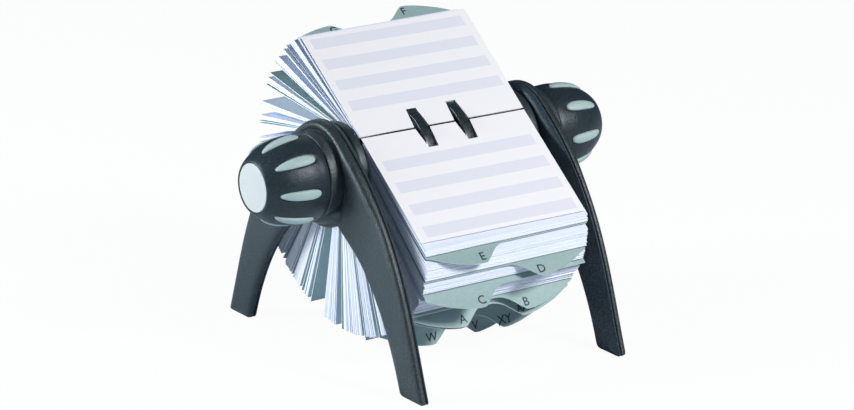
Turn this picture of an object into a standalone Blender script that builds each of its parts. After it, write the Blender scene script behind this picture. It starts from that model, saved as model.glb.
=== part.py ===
import bpy
import bmesh
from math import pi, sin, cos, asin, sqrt, hypot, radians
from mathutils import Vector, Matrix

# Overall sizes in metres. X runs along the axle, the front faces -Y, the desk is Z = 0.
axle_height = 0.1020
seat_gap = 0.0003
cut_overrun = 0.0020

# Cards and lettered dividers
card_width = 0.1040
card_length = 0.0720
card_clearance = 0.0013
notch_pitch = 0.0256
notch_depth = 0.0128
notch_mouth = 0.0092
notch_end = 0.0061
open_sheet = 0.0003
open_offset = 0.0260
split_drop = 0.0019
hinge_lift = 0.0004
divider_sheet = 0.0003
leaf_gap = 0.00015
divider_extra = 0.0008
tab_rise = 0.0093
tab_lead = 0.0335
tab_fall = 0.0165
stack_least = 0.0003

# Axle, drum, card rails and end flanges, placed from the ends of the cards outwards
axle_radius = 0.0040
axle_inset = 0.0075
drum_radius = 0.0130
rail_radius = 0.0275
rail_inner = 0.0242
rail_width = 0.0055
web_width = 0.0042
flange_thick = 0.0082
flange_radius = 0.0258
flange_round = 0.0024
flange_inner = card_width / 2 + card_clearance
flange_outer = flange_inner + flange_thick
drum_half = flange_inner - seat_gap

# Stand, measured outward along the axle from the end flanges
cover_thick = 0.0015
cover_inner = flange_outer + seat_gap
shell_seam = cover_inner + cover_thick + seat_gap
shell_rim = 0.0024
shell_crown = 0.0022
hub_radius = 0.0289
hub_valley_width = 0.0042
hub_ridge_width = 0.0018
hub_ridge_rise = 0.0040
hub_valley_rise = 0.0026
hub_blend = 0.0060
edge_round = 0.0008
collar_reach = 0.0134
collar_end = cover_inner + collar_reach
collar_step = 0.0054
hub_valley_radius = hub_radius - hub_valley_width
hub_ridge_radius = hub_radius - hub_ridge_width
collar_radius = hub_radius - collar_step
foot_front = 0.0932
foot_back = 0.0726
brow_handle = 0.0663
shin_handle = 0.0457
hollow_handle = 0.0354
ankle_handle = 0.0303
brow_angle = radians(35.0)
shin_angle = radians(69.9)
hollow_start = radians(145.6)
hollow_angle = radians(31.6)
ankle_angle = radians(72.3)

# Knob, its soft grip and end disc
knob_length = 0.0335
knob_start = collar_end + seat_gap
knob_end = knob_start + knob_length
axle_half = knob_end - axle_inset
knob_radius = 0.0237
knob_wall = 0.0022
knob_end_wall = 0.0085
knob_tube_radius = 0.0075
disc_radius = 0.0131
disc_recess = 0.0013
disc_round = 0.0003
pad_share = 0.507
pad_middle = knob_start + pad_share * (knob_end - knob_start)
pad_half_length = 0.0109
pad_half_width = 0.0027
pad_rise = 0.0017
pad_lip = 0.0002
sleeve_wall = 0.0023
sleeve_start = 0.0020
pad_taper = 0.16
pad_points = 12
pad_count = 8
pad_phase = radians(3.5)

# Round pieces
fine_steps = 36
knob_steps = 32
leg_steps = 16

# The hanging fan: card direction in degrees from straight up towards the rear,
# with the plane's distance from the axle and the resting place of the notch on the rail
turn_angles = (54.4, 60, 70, 80, 90, 100, 110, 122, 137, 155, 172, 190, 205, 215, 223, 227, 230, 232, 234.4)
offset_shares = (1.0, 0.950, 0.892, 0.831, 0.777, 0.723, 0.662, 0.577, 0.442, 0.308,
                 0.154, 0.0, -0.192, -0.385, -0.577, -0.712, -0.823, -0.904, -1.0)
rest_shares = (1.015, 1.015, 1.015, 1.015, 1.018, 1.029, 1.055, 1.091, 1.127, 1.127,
               1.127, 1.127, 1.127, 1.138, 1.145, 1.145, 1.127, 1.102, 1.087)
open_rear = 54.4
open_front = 234.4
offset_step = 0.00002

# The leaves in order round the fan. A lettered divider has its direction and the side of its tab,
# a stack of plain cards the directions of its first and last card.
leaves = (
    ("F", 55.8, 1), ("F_G", (57.2, 60.0)), ("G", 64.2, -1), ("G_H_upper", (64.9, 65.7)),
    ("G_H_lower", (69.9, 73.6)), ("H", 78.7, 1), ("H_I", (80.7, 83.3)), ("I", 84.3, -1),
    ("I_J_upper", (91.0, 93.6)), ("I_J_lower", (96.4, 98.0)), ("J", 98.6, 1), ("J_K", (99.2, 101.4)),
    ("K", 106.3, -1), ("L", 112.0, 1), ("M", 117.6, -1), ("N", 123.0, 1), ("O", 128.8, -1), ("P", 134.6, 1),
    ("P_Q", (137.4, 142.8)), ("Q", 144.2, -1), ("Q_R", (145.4, 149.4)), ("R", 150.4, 1),
    ("R_S", (151.2, 155.6)), ("S", 156.9, -1), ("S_T", (157.8, 160.6)), ("T", 162.2, 1),
    ("T_U", (169.4, 176.4)), ("U", 180.0, -1), ("U_V", (180.8, 190.6)), ("V", 191.6, 1),
    ("V_W", (192.6, 197.8)), ("W", 199.6, -1), ("W_XY", (200.6, 203.8)), ("XY", 205.2, 1), ("Z", 213.9, -1),
    ("A", 215.0, -1), ("B", 217.0, 1), ("B_C", (217.6, 222.8)), ("C", 224.0, -1), ("C_D", (224.5, 226.8)),
    ("D", 227.5, 1), ("D_E", (228.0, 231.3)), ("E", 232.0, -1), ("E_front", (232.5, 233.8)),
)

for leftover in list(bpy.data.objects):
    bpy.data.objects.remove(leftover, do_unlink=True)


def material(name, colour, roughness, metallic=0.0):
    made = bpy.data.materials.new(name)
    made.use_nodes = True
    shader = made.node_tree.nodes["Principled BSDF"]
    shader.inputs["Base Color"].default_value = (*colour, 1.0)
    shader.inputs["Roughness"].default_value = roughness
    shader.inputs["Metallic"].default_value = metallic
    return made


black_plastic = material("black_plastic", (0.026, 0.037, 0.044), 0.42)
rail_plastic = material("rail_plastic", (0.018, 0.026, 0.032), 0.26)
grip_rubber = material("grip_rubber", (0.36, 0.53, 0.53), 0.55)
disc_plastic = material("disc_plastic", (0.60, 0.72, 0.76), 0.38)
axle_steel = material("axle_steel", (0.52, 0.53, 0.54), 0.30, 1.0)
divider_plastic = material("divider_plastic", (0.30, 0.43, 0.43), 0.45)
card_paper = material("card_paper", (0.86, 0.86, 0.92), 0.80)

rotor_axis = bpy.data.objects.new("rotor_axis", None)
rotor_axis.location = (0, 0, axle_height)
bpy.context.scene.collection.objects.link(rotor_axis)


def finish(name, bm, finish_material, parent=None, smooth_angle=None):
    bmesh.ops.remove_doubles(bm, verts=bm.verts, dist=0.000001)
    bmesh.ops.recalc_face_normals(bm, faces=bm.faces)
    mesh = bpy.data.meshes.new(name)
    bm.to_mesh(mesh)
    bm.free()
    mesh.materials.append(finish_material)
    made = bpy.data.objects.new(name, mesh)
    bpy.context.scene.collection.objects.link(made)
    if parent:
        made.parent = parent
    if smooth_angle:
        for face in mesh.polygons:
            face.use_smooth = True
        mesh.set_sharp_from_angle(angle=smooth_angle)
    return made


# A closed (x, radius) outline turned once round the X axis
def turned(outline, steps):
    bm = bmesh.new()
    ring = [bm.verts.new((x, 0, radius)) for x, radius in outline]
    edges = [bm.edges.new((ring[i], ring[(i + 1) % len(ring)])) for i in range(len(ring))]
    bmesh.ops.spin(bm, geom=ring + edges, cent=(0, 0, 0), axis=(1, 0, 0), dvec=(0, 0, 0),
                   angle=2 * pi, steps=steps, use_merge=True)
    bmesh.ops.remove_doubles(bm, verts=bm.verts, dist=0.000001)
    return bm


def joined(base, other, operation):
    change = base.modifiers.new("change", "BOOLEAN")
    change.operation = operation
    change.solver = "EXACT"
    change.object = other
    bpy.context.view_layer.update()
    evaluated = base.evaluated_get(bpy.context.evaluated_depsgraph_get())
    mesh = bpy.data.meshes.new_from_object(evaluated)
    base.modifiers.clear()
    base.data = mesh
    bpy.data.objects.remove(other, do_unlink=True)


def mirrored(outline, side):
    return [(side * x, radius) for x, radius in outline]


def bezier(a, b, c, d, share):
    rest = 1 - share
    return (a * rest ** 3 + b * 3 * rest ** 2 * share + c * 3 * rest * share ** 2 + d * share ** 3)


# Outer and inner edge of one leg, as (y, z) about the axle, y towards the foot
def leg_edges(count):
    brow = Vector((hub_radius * sin(brow_angle), hub_radius * cos(brow_angle)))
    toe = Vector((foot_front, -axle_height))
    hollow = Vector((hub_radius * sin(hollow_start), hub_radius * cos(hollow_start)))
    heel = Vector((foot_back, -axle_height))
    brow_pull = brow + brow_handle * Vector((cos(brow_angle), -sin(brow_angle)))
    toe_pull = toe - shin_handle * Vector((cos(shin_angle), -sin(shin_angle)))
    hollow_pull = hollow + hollow_handle * Vector((cos(hollow_angle), -sin(hollow_angle)))
    heel_pull = heel - ankle_handle * Vector((cos(ankle_angle), -sin(ankle_angle)))
    rows = []
    for i in range(count + 1):
        share = i / count
        rows.append((bezier(brow, brow_pull, toe_pull, toe, share),
                     bezier(hollow, hollow_pull, heel_pull, heel, share)))
    return rows


def smooth_share(value, low, high):
    share = min(1.0, max(0.0, (value - low) / (high - low)))
    return share * share * (3 - 2 * share)


# One leg as a lofted slab: flat side at x_flat, shaped side rising by height(share, radius)
def leg(side, way, x_flat, height, shares):
    bm = bmesh.new()
    flat_rows = []
    face_rows = []
    for outer, inner in leg_edges(leg_steps):
        flat_row = []
        face_row = []
        for share in shares:
            point = outer.lerp(inner, share)
            lift = height(share, point.length, (outer - inner).length)
            flat_row.append(bm.verts.new((side * x_flat, way * point.x, point.y)))
            face_row.append(bm.verts.new((side * (x_flat + lift), way * point.x, point.y)))
        flat_rows.append(flat_row)
        face_rows.append(face_row)
    last = len(shares) - 1
    for i in range(len(face_rows) - 1):
        for k in range(last):
            bm.faces.new((face_rows[i][k], face_rows[i][k + 1], face_rows[i + 1][k + 1], face_rows[i + 1][k]))
        for k in (0, last):
            bm.faces.new((flat_rows[i][k], flat_rows[i + 1][k], face_rows[i + 1][k], face_rows[i][k]))
        bm.faces.new((flat_rows[i][0], flat_rows[i + 1][0], flat_rows[i + 1][last], flat_rows[i][last]))
    for i in (0, len(face_rows) - 1):
        bm.faces.new([flat_rows[i][0]] + face_rows[i] + [flat_rows[i][last]])
    loose = [v for row in flat_rows for v in row[1:last]]
    bmesh.ops.delete(bm, geom=loose, context="VERTS")
    return bm


face_shares = (0.0, 0.035, 0.10, 0.24, 0.42, 0.62, 0.80, 0.93, 1.0)
crown_shares = (0.0, 0.42, 0.72, 0.97, 1.0, 0.90, 0.66, 0.34, 0.0)
plate_shares = (0.0, 0.045, 0.955, 1.0)


def shell_height(share, radius, width):
    crown = crown_shares[face_shares.index(share)]
    return shell_rim + shell_crown * crown * smooth_share(radius, hub_valley_radius, hub_radius + hub_blend)


def plate_height(share, radius, width):
    if share in (plate_shares[0], plate_shares[-1]):
        return cover_thick - edge_round
    return cover_thick


# Outer half of one stand: crowned legs, ridged hub and the collar the knob turns against
def stand_shell(side, name):
    seam = shell_seam
    bore = axle_radius + seat_gap
    hub = mirrored([
        (seam, bore), (collar_end, bore), (collar_end, collar_radius - edge_round),
        (collar_end - edge_round, collar_radius), (seam + hub_ridge_rise + edge_round, collar_radius),
        (seam + hub_valley_rise, hub_valley_radius), (seam + hub_valley_rise + edge_round, hub_valley_radius + edge_round),
        (seam + hub_ridge_rise, hub_ridge_radius), (seam + hub_ridge_rise - edge_round, hub_radius - edge_round),
        (seam + shell_rim, hub_radius), (seam, hub_radius)], side)
    made = finish(name, turned(hub, fine_steps), black_plastic)
    for way in (-1, 1):
        limb = finish(name + "_limb", leg(side, way, seam, shell_height, face_shares), black_plastic)
        joined(made, limb, "UNION")
    return made


# Inner cover closing the stand towards the cards
def stand_cover(side, name):
    outer_face = cover_inner + cover_thick
    bore = axle_radius + seat_gap
    hub = mirrored([(outer_face, bore), (outer_face, hub_radius), (cover_inner + edge_round, hub_radius),
                    (cover_inner, hub_radius - edge_round), (cover_inner, bore)], side)
    made = finish(name, turned(hub, fine_steps), black_plastic)
    for way in (-1, 1):
        limb = finish(name + "_limb", leg(side, way, outer_face, lambda *at: -plate_height(*at), plate_shares),
                      black_plastic)
        joined(made, limb, "UNION")
    return made


def settle(made, parent=None, angle=radians(32)):
    made.data.materials.clear()
    made.data.materials.append(black_plastic)
    for face in made.data.polygons:
        face.material_index = 0
        face.use_smooth = True
    made.data.set_sharp_from_angle(angle=angle)
    if parent:
        made.parent = parent


for side, word in ((-1, "left"), (1, "right")):
    for made in (stand_shell(side, "stand_" + word + "_shell"), stand_cover(side, "stand_" + word + "_cover")):
        made.location = (0, 0, axle_height)
        settle(made)

# Axle, and the drum with its two card rails
finish("axle", turned([(-axle_half, 0), (-axle_half, axle_radius), (axle_half, axle_radius), (axle_half, 0)], 24),
       axle_steel, rotor_axis, radians(40))

bore = axle_radius + seat_gap
drum = [(-drum_half, bore), (-drum_half, drum_radius)]
for rail in (-1, 1):
    middle = rail * notch_pitch / 2
    drum += [(middle - web_width / 2, drum_radius), (middle - web_width / 2, rail_inner),
             (middle - rail_width / 2, rail_inner), (middle - rail_width / 2, rail_radius - edge_round / 2),
             (middle - rail_width / 2 + edge_round / 2, rail_radius),
             (middle + rail_width / 2 - edge_round / 2, rail_radius),
             (middle + rail_width / 2, rail_radius - edge_round / 2), (middle + rail_width / 2, rail_inner),
             (middle + web_width / 2, rail_inner), (middle + web_width / 2, drum_radius)]
drum += [(drum_half, drum_radius), (drum_half, bore)]
finish("rail_drum", turned(drum, fine_steps), rail_plastic, rotor_axis, radians(32))


# Rounded end flange of the rotor, beside the cards
def flange(side, name):
    points = [(flange_inner, bore), (flange_inner, flange_radius - flange_round)]
    for i in range(1, 4):
        angle = i / 3 * pi / 2
        points.append((flange_inner + flange_round * (1 - cos(angle)),
                       flange_radius - flange_round * (1 - sin(angle))))
    points += [(flange_outer, flange_radius), (flange_outer, bore)]
    finish(name, turned(mirrored(points, side), fine_steps), black_plastic, rotor_axis, radians(32))


flange(-1, "flange_left")
flange(1, "flange_right")

# Knob profile as shares of its length and of its largest radius
knob_length_shares = (0.0, 0.15, 0.31, 0.46, 0.60, 0.72, 0.82, 0.91, 0.97, 1.0)
knob_radius_shares = (0.992, 1.0, 0.994, 0.968, 0.925, 0.866, 0.791, 0.708, 0.640, 0.595)


def knob_x(share):
    return knob_start + (knob_end - knob_start) * share


def knob_surface(x):
    for i in range(len(knob_length_shares) - 1):
        low = knob_x(knob_length_shares[i])
        high = knob_x(knob_length_shares[i + 1])
        if x <= high:
            part = (x - low) / (high - low)
            return knob_radius * (knob_radius_shares[i] * (1 - part) + knob_radius_shares[i + 1] * part)
    return knob_radius * knob_radius_shares[-1]


# Leaf-shaped outline of one grip pad as (x, offset across)
def leaf_outline(half_length, half_width, count):
    points = []
    for i in range(count):
        angle = 2 * pi * (i + 0.5) / count
        blunt = 1 - pad_taper * cos(angle)
        points.append((pad_middle + half_length * cos(angle), half_width * sin(angle) * blunt))
    return points


# Inside of the knob's outer wall, a plain cone
def knob_inside(x):
    back = knob_end - knob_end_wall
    low = knob_radius * knob_radius_shares[0] - knob_wall
    high = knob_surface(back) - knob_wall
    return low + (high - low) * (x - knob_start) / (back - knob_start)


def around(x, across, radius, angle, side):
    turn = angle + across / knob_surface(pad_middle)
    return (side * x, -radius * sin(turn), radius * cos(turn))


# Leaf-shaped prism cutting one window, or a domed pad that fills it
def leaf_body(side, angle, half_length, half_width, root, top, dome):
    bm = bmesh.new()
    outline = leaf_outline(half_length, half_width, pad_points)
    low = [bm.verts.new(around(x, a, root(x), angle, side)) for x, a in outline]
    high = [bm.verts.new(around(x, a, top(x), angle, side)) for x, a in outline]
    count = len(outline)
    for i in range(count):
        k = (i + 1) % count
        bm.faces.new((low[i], low[k], high[k], high[i]))
    bm.faces.new(low)
    if dome:
        inner = [bm.verts.new(around(pad_middle + (x - pad_middle) * 0.62, a * 0.58,
                                     top(pad_middle + (x - pad_middle) * 0.62) + dome * 0.78, angle, side))
                 for x, a in outline]
        peak = bm.verts.new(around(pad_middle, 0, top(pad_middle) + dome, angle, side))
        for i in range(count):
            k = (i + 1) % count
            bm.faces.new((high[i], high[k], inner[k], inner[i]))
            bm.faces.new((inner[i], inner[k], peak))
    else:
        bm.faces.new(high)
    return bm


def knob(side, name):
    back = knob_end - knob_end_wall
    points = [(knob_x(a), knob_radius * b) for a, b in zip(knob_length_shares, knob_radius_shares)]
    recess = knob_end - disc_recess
    points += [(knob_end, disc_radius + seat_gap), (recess, disc_radius + seat_gap), (recess, bore),
               (knob_start + edge_round, bore), (knob_start + edge_round, knob_tube_radius), (back, knob_tube_radius)]
    points += [(back, knob_inside(back)), (knob_start, knob_inside(knob_start))]
    made = finish(name, turned(mirrored(points, side), knob_steps), black_plastic)
    for i in range(pad_count):
        cutter = finish(name + "_window", leaf_body(
            side, pad_phase + 2 * pi * i / pad_count, pad_half_length + seat_gap, pad_half_width + seat_gap,
            lambda x: knob_inside(x) - cut_overrun, lambda x: knob_radius + cut_overrun, 0), black_plastic)
        joined(made, cutter, "DIFFERENCE")
    settle(made, rotor_axis)


# Soft sleeve inside the knob, its eight pads showing through the windows
def grip(side, name):
    start = knob_start + sleeve_start
    back = knob_end - knob_end_wall - seat_gap
    outline = [(start, knob_inside(start) - seat_gap), (back, knob_inside(back) - seat_gap),
               (back, knob_inside(back) - sleeve_wall), (start, knob_inside(start) - sleeve_wall)]
    made = finish(name, turned(mirrored(outline, side), knob_steps), grip_rubber)
    for i in range(pad_count):
        pad = finish(name + "_pad", leaf_body(
            side, pad_phase + 2 * pi * i / pad_count, pad_half_length, pad_half_width,
            lambda x: knob_inside(x) - sleeve_wall / 2, lambda x: knob_surface(x) + pad_lip,
            pad_rise), grip_rubber)
        joined(made, pad, "UNION")
    settle(made, rotor_axis, radians(50))
    made.data.materials[0] = grip_rubber


def end_disc(side, name):
    low = knob_end - disc_recess + seat_gap
    points = [(low, 0), (low, disc_radius), (knob_end - disc_round, disc_radius),
              (knob_end, disc_radius - disc_round), (knob_end, 0)]
    finish(name, turned(mirrored(points, side), knob_steps), disc_plastic, rotor_axis, radians(32))


for side, word in ((-1, "left"), (1, "right")):
    knob(side, "knob_" + word)
    grip(side, "knob_grip_" + word)
    end_disc(side, "knob_disc_" + word)


def between(angle, shares):
    for i in range(len(turn_angles) - 1):
        if angle <= turn_angles[i + 1]:
            part = (angle - turn_angles[i]) / (turn_angles[i + 1] - turn_angles[i])
            return shares[i] * (1 - part) + shares[i + 1] * part
    return shares[-1]


def heading(angle):
    turn = radians(angle)
    return Vector((0, sin(turn), cos(turn))), Vector((0, cos(turn), -sin(turn)))


# Inner edge of a card whose notches rest on the rails and whose plane passes the axle at an offset
def inner_edge(angle, offset):
    out, grow = heading(angle)
    rest = rail_radius * between(angle, rest_shares)
    return out * (sqrt(rest * rest - offset * offset) - notch_depth) - grow * offset


# Inner edge in the leaf's usual place, or moved on until it clears the leaf before it
def next_edge(angle, before, before_grow, clearance):
    offset = open_offset * between(angle, offset_shares)
    edge = inner_edge(angle, offset)
    while (edge - before).dot(before_grow) < clearance:
        offset -= offset_step
        edge = inner_edge(angle, offset)
    return edge


# Card outline as (across, along) with its two flared notches
def card_outline(length):
    half = card_width / 2
    points = []
    for middle in (-notch_pitch / 2, notch_pitch / 2):
        points += [(middle - notch_mouth / 2, 0), (middle - notch_end / 2, notch_depth),
                   (middle + notch_end / 2, notch_depth), (middle + notch_mouth / 2, 0)]
    return [(-half, 0)] + points + [(half, 0), (half, length), (-half, length)]


tab_shares = ((0.0, 0.0), (0.22, 0.34), (0.47, 0.67), (0.72, 0.90), (0.93, 1.0))
fall_shares = ((0.02, 0.98), (0.10, 0.88), (0.24, 0.70), (0.38, 0.49), (0.57, 0.24), (0.79, 0.07), (1.0, 0.0))


# Divider outline: a card with a tab rising from one outer corner, side -1 left or 1 right
def divider_outline(tab_side):
    outline = card_outline(card_length + divider_extra)
    half = card_width / 2
    top = card_length + divider_extra
    edge = [(-half + tab_lead * a, top + tab_rise * b) for a, b in tab_shares]
    edge += [(-half + tab_lead + tab_fall * a, top + tab_rise * b) for a, b in fall_shares]
    if tab_side < 0:
        outline[-1:] = edge[::-1]
    else:
        outline[-2:-1] = [(-a, b) for a, b in edge]
    return outline


def placed(outline, origin, out):
    return [origin + Vector((across, 0, 0)) + out * along for across, along in outline]


# Body between two outlines of the same count
def between_faces(first, second):
    bm = bmesh.new()
    low = [bm.verts.new(point) for point in first]
    high = [bm.verts.new(point) for point in second]
    for i in range(len(low)):
        k = (i + 1) % len(low)
        bm.faces.new((low[i], low[k], high[k], high[i]))
    bm.faces.new(low)
    bm.faces.new(high)
    return bm


# Hang the leaves one after another round the rails, from behind the open upper card to its lower partner
before_grow = heading(open_rear)[1]
before = inner_edge(open_rear, open_offset) + before_grow * open_sheet
for leaf in leaves:
    if len(leaf) == 3:
        letter, angle, tab_side = leaf
        out, grow = heading(angle)
        half_sheet = grow * divider_sheet / 2
        middle = next_edge(angle, before, before_grow, leaf_gap + divider_sheet / 2)
        outline = divider_outline(tab_side)
        finish("divider_" + letter, between_faces(placed(outline, middle - half_sheet, out),
                                                  placed(outline, middle + half_sheet, out)),
               divider_plastic, rotor_axis)
        before = middle + half_sheet
    else:
        letters, (first, last) = leaf
        near_out, near_grow = heading(first)
        out, grow = heading(last)
        near = next_edge(first, before, before_grow, leaf_gap)
        far = next_edge(last, near, near_grow, stack_least)
        outline = card_outline(card_length)
        finish("cards_" + letters, between_faces(placed(outline, near, near_out), placed(outline, far, out)),
               card_paper, rotor_axis)
        before = far
    before_grow = grow


# The open pair: two loose cards that flip over the rails about the line between them
def open_card(name, angle, way):
    turn = radians(open_rear)
    up_slope = Vector((0, sin(turn), cos(turn)))
    normal = Vector((0, -cos(turn), sin(turn)))
    hinge = normal * (open_offset + hinge_lift) - up_slope * split_drop
    pivot = bpy.data.objects.new(name + "_hinge", None)
    pivot.location = hinge
    pivot.parent = rotor_axis
    bpy.context.scene.collection.objects.link(pivot)
    out = up_slope * way
    top = -normal * hinge_lift + out * seat_gap
    outline = card_outline(card_length)
    finish(name, between_faces(placed(outline, top, out), placed(outline, top - normal * open_sheet, out)),
           card_paper, pivot)


open_card("open_card_upper", open_rear, 1)
open_card("open_card_lower", open_front, -1)
bpy.context.view_layer.update()
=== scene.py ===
from math import pi, sin, cos, copysign, atan2, radians
from random import Random

import bpy
import bmesh
import numpy as np
from mathutils import Vector, Matrix
from mathutils.geometry import delaunay_2d_cdt


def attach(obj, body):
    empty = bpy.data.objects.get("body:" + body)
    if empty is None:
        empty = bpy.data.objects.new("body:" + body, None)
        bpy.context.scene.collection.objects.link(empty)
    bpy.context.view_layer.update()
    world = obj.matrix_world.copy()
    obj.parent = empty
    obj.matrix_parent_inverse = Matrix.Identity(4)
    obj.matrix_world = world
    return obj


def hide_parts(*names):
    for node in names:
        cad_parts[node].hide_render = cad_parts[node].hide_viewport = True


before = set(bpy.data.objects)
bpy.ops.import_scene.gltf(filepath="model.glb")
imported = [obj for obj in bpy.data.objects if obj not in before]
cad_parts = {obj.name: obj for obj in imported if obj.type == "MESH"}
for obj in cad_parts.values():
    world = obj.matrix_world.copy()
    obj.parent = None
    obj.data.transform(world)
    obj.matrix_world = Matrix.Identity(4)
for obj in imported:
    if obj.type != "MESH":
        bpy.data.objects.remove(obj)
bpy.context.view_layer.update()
scene = bpy.context.scene
axleHeight = 0.102
axlePoint = Vector((0, 0, axleHeight))
sides = ((-1, "left"), (1, "right"))
print("frame loaded:", len(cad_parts), "nodes")


def placed(name, data):
    made = bpy.data.objects.new(name, data)
    scene.collection.objects.link(made)
    return made


def meshOf(name, bm):
    mesh = bpy.data.meshes.new(name)
    bm.to_mesh(mesh)
    bm.free()
    return mesh


def evaluatedMesh(holder):
    bpy.context.view_layer.update()
    return bpy.data.meshes.new_from_object(holder.evaluated_get(bpy.context.evaluated_depsgraph_get()))


# camera, from the card corners, feet and knobs
camera = {"azimuth": radians(-35.05), "elevation": radians(17.9), "distance": 2.0, "lens": 157.66,
          "aside": 0.001337, "below": 0.02802}


def makeCamera(kit):
    turn, lift = kit["azimuth"], kit["elevation"]
    back = Vector((sin(turn) * cos(lift), -cos(turn) * cos(lift), sin(lift)))
    right = Vector((cos(turn), sin(turn), 0))
    up = back.cross(right)
    lens = bpy.data.cameras.new("camera")
    lens.sensor_width = 36
    lens.lens = kit["lens"]
    lens.clip_end = 50
    view = placed("camera", lens)
    place = Matrix((right, up, back)).transposed().to_4x4()
    place.translation = axlePoint + kit["distance"] * back + kit["aside"] * right - kit["below"] * up
    view.matrix_world = place
    scene.camera = view


makeCamera(camera)
print("camera placed")


# shader groups shared by the materials
def newGroup(name, inputs, outputs):
    tree = bpy.data.node_groups.new(name, "ShaderNodeTree")
    for label, value in inputs:
        socket = tree.interface.new_socket(label, in_out="INPUT", socket_type="NodeSocketFloat")
        socket.default_value = value
    for label, kind in outputs:
        tree.interface.new_socket(label, in_out="OUTPUT", socket_type="NodeSocket" + kind)
    return tree, tree.nodes.new("NodeGroupInput").outputs, tree.nodes.new("NodeGroupOutput").inputs


def link(tree, source, target):
    tree.links.new(source, target)


# adds a node; each named input is linked to a socket or set to a plain value
def node(tree, kind, inputs=(), **settings):
    made = tree.nodes.new(kind)
    for key, value in settings.items():
        setattr(made, key, value)
    for key, value in dict(inputs).items():
        if isinstance(value, bpy.types.NodeSocket):
            link(tree, value, made.inputs[key])
        else:
            made.inputs[key].default_value = value
    return made


def calc(tree, operation, first, second=0.0, clamp=False):
    return node(tree, "ShaderNodeMath", {0: first, 1: second}, operation=operation, use_clamp=clamp).outputs[0]


def noise(tree, scale, detail=2.0, roughness=0.5):
    place = node(tree, "ShaderNodeTexCoord").outputs["Object"]
    return node(tree, "ShaderNodeTexNoise", {"Vector": place, "Scale": scale, "Detail": detail,
                                             "Roughness": roughness}).outputs["Fac"]


def bump(tree, height, strength, depth):
    return node(tree, "ShaderNodeBump", {"Height": height, "Strength": strength, "Distance": depth}).outputs["Normal"]


# fine spark-eroded grain of the moulded plastic: a bump and a mask that follows it
def makeMouldGrain():
    tree, given, result = newGroup("mouldGrain", [("Cells", 900.0), ("Depth", 0.00004), ("Strength", 0.5)],
                                   [("Normal", "Vector"), ("Mask", "Float")])
    coarse = noise(tree, given["Cells"], 3.0, 0.65)
    place = node(tree, "ShaderNodeTexCoord").outputs["Object"]
    pits = node(tree, "ShaderNodeTexVoronoi", {"Vector": place,
                                               "Scale": calc(tree, "MULTIPLY", given["Cells"], 1.4)})
    height = calc(tree, "ADD", coarse, calc(tree, "MULTIPLY", pits.outputs["Distance"], 0.5))
    link(tree, bump(tree, height, given["Strength"], given["Depth"]), result["Normal"])
    link(tree, coarse, result["Mask"])
    return tree


# paler along outer edges: a painted edge highlight with some rubbed wear, broken up by noise
def makeEdgeRubAndHighlight():
    tree, given, result = newGroup("edgeRubAndHighlight", [("Amount", 0.5), ("Cells", 400.0)], [("Mask", "Float")])
    shape = node(tree, "ShaderNodeNewGeometry")
    edge = calc(tree, "MULTIPLY", calc(tree, "SUBTRACT", shape.outputs["Pointiness"], 0.52), 9.0, True)
    broken = calc(tree, "MULTIPLY", edge, noise(tree, given["Cells"]))
    link(tree, calc(tree, "MULTIPLY", broken, given["Amount"], True), result["Mask"])
    return tree


# settled dust: sparse specks on faces that look up
def makeDust():
    tree, given, result = newGroup("settledDust", [("Amount", 0.3), ("Cells", 1500.0)], [("Mask", "Float")])
    normal = node(tree, "ShaderNodeNewGeometry").outputs["Normal"]
    upward = node(tree, "ShaderNodeSeparateXYZ", {0: normal}).outputs["Z"]
    speck = noise(tree, given["Cells"], 1.0)
    sharp = calc(tree, "MULTIPLY", calc(tree, "SUBTRACT", speck, 0.60), 8.0, True)
    up = calc(tree, "ADD", calc(tree, "MULTIPLY", upward, 0.5), 0.4, True)
    link(tree, calc(tree, "MULTIPLY", calc(tree, "MULTIPLY", sharp, up), given["Amount"], True), result["Mask"])
    return tree


# pressed fibres of card stock: a faint bump and a slow change of tint
def makePaperFibre():
    tree, given, result = newGroup("paperFibre", [("Fibres", 1600.0), ("Strength", 0.25)],
                                   [("Normal", "Vector"), ("Tint", "Float")])
    fibre = noise(tree, given["Fibres"], 4.0, 0.7)
    cloud = noise(tree, 55.0)
    link(tree, bump(tree, fibre, given["Strength"], 0.00003), result["Normal"])
    link(tree, calc(tree, "ADD", calc(tree, "MULTIPLY", cloud, 0.7), calc(tree, "MULTIPLY", fibre, 0.3)),
         result["Tint"])
    return tree


# printed rows on a card, from its own UV, which counts 100 mm as one
def makePrintedRows():
    tree, given, result = newGroup("printedRows", [("First", 16.5), ("Pitch", 14.7), ("Height", 7.0),
                                                   ("Left", -46.0), ("Right", 51.0)], [("Mask", "Float")])
    uv = node(tree, "ShaderNodeUVMap", uv_map="card").outputs["UV"]
    split = node(tree, "ShaderNodeSeparateXYZ", {0: uv})
    across = calc(tree, "MULTIPLY", split.outputs["X"], 100.0)
    along = calc(tree, "SUBTRACT", calc(tree, "MULTIPLY", split.outputs["Y"], 100.0), given["First"])
    row = calc(tree, "DIVIDE", along, given["Pitch"])
    inRow = calc(tree, "LESS_THAN", calc(tree, "MULTIPLY", calc(tree, "FRACT", row), given["Pitch"]),
                 given["Height"])
    rows = calc(tree, "MULTIPLY", calc(tree, "GREATER_THAN", row, 0.0), calc(tree, "LESS_THAN", row, 4.0))
    between = calc(tree, "MULTIPLY", calc(tree, "GREATER_THAN", across, given["Left"]),
                   calc(tree, "LESS_THAN", across, given["Right"]))
    link(tree, calc(tree, "MULTIPLY", calc(tree, "MULTIPLY", inRow, rows), between), result["Mask"])
    return tree


groups = {"grain": makeMouldGrain(), "rub": makeEdgeRubAndHighlight(), "dust": makeDust(), "fibre": makePaperFibre(),
          "rows": makePrintedRows()}
print("shader groups built")


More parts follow.
